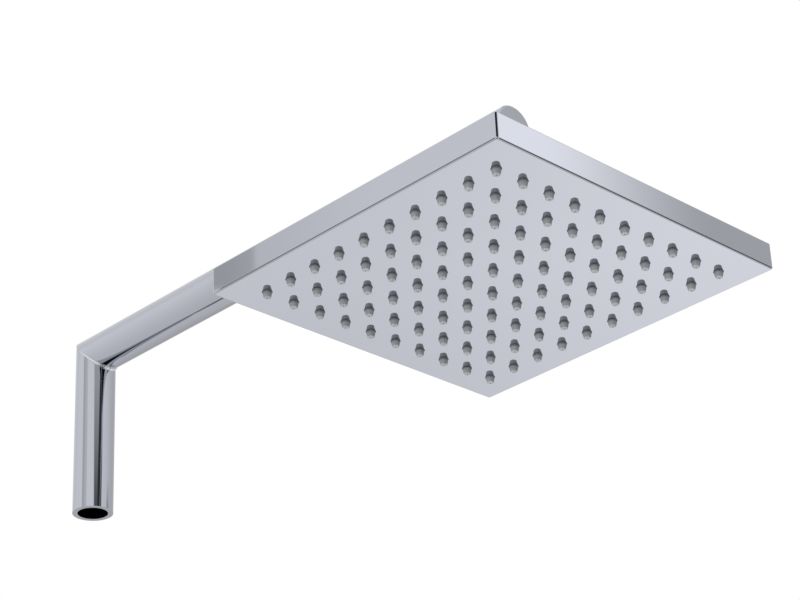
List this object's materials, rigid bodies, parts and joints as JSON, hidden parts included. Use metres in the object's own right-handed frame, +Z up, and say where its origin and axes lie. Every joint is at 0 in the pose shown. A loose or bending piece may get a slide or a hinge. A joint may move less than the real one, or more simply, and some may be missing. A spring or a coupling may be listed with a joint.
{
  "type": "shower system",
  "caption": "Square rain shower head with a field of silicone nozzles on a ball swivel, carried by a round mitred arm and the top of its riser.",
  "frame": {"origin": "centre of the riser's foot, in the mouth of its socket", "axes": "+Z up the riser, -Y along the arm towards the head, +X to the right seen from the front"},
  "size_m": [0.2, 0.442, 0.114],
  "materials": {
    "chrome": "polished chrome plate",
    "brass": "turned brass",
    "stainless": "bright",
    "rubber": "moulded",
    "silicone": "moulded, satin",
    "acetal": "moulded"
  },
  "bodies": {
    "riser_arm": {"riser_tube": "chrome", "arm_tube": "chrome", "mitre_braze": "chrome", "arm_end_cap": "chrome", "riser_socket": "chrome", "locking_screw": "stainless", "outlet_nipple": "chrome", "flow_regulator": "acetal", "regulator_ring": "rubber", "filter_washer": "rubber", "filter_screen": "stainless", "union_nut": "chrome"},
    "ball": {"swivel_ball": "chrome"},
    "liner": {"ball_liner": "acetal"},
    "head": {"collar_nut": "chrome", "swivel_socket": "chrome", "ball_seal": "rubber", "swivel_washer": "rubber", "lock_nut": "brass", "back_cover": "chrome", "cover_screws": "stainless", "chamber_gasket": "rubber", "mat_retainer": "acetal", "nozzle_mat": "silicone", "spray_face": "chrome"}
  },
  "joints": [
    {"name": "head_swivel", "type": "hinge", "parent": "riser_arm", "child": "ball", "pos_m": [0, -0.33, 0.054], "axis": [0, 0, 1], "continuous": true},
    {"name": "head_tilt_fore_aft", "type": "hinge", "parent": "ball", "child": "liner", "pos_m": [0, -0.33, 0.054], "axis": [1, 0, 0], "range_deg": [-12, 12]},
    {"name": "head_tilt_side", "type": "hinge", "parent": "liner", "child": "head", "pos_m": [0, -0.33, 0.054], "axis": [0, 1, 0], "range_deg": [-12, 12]}
  ]
}
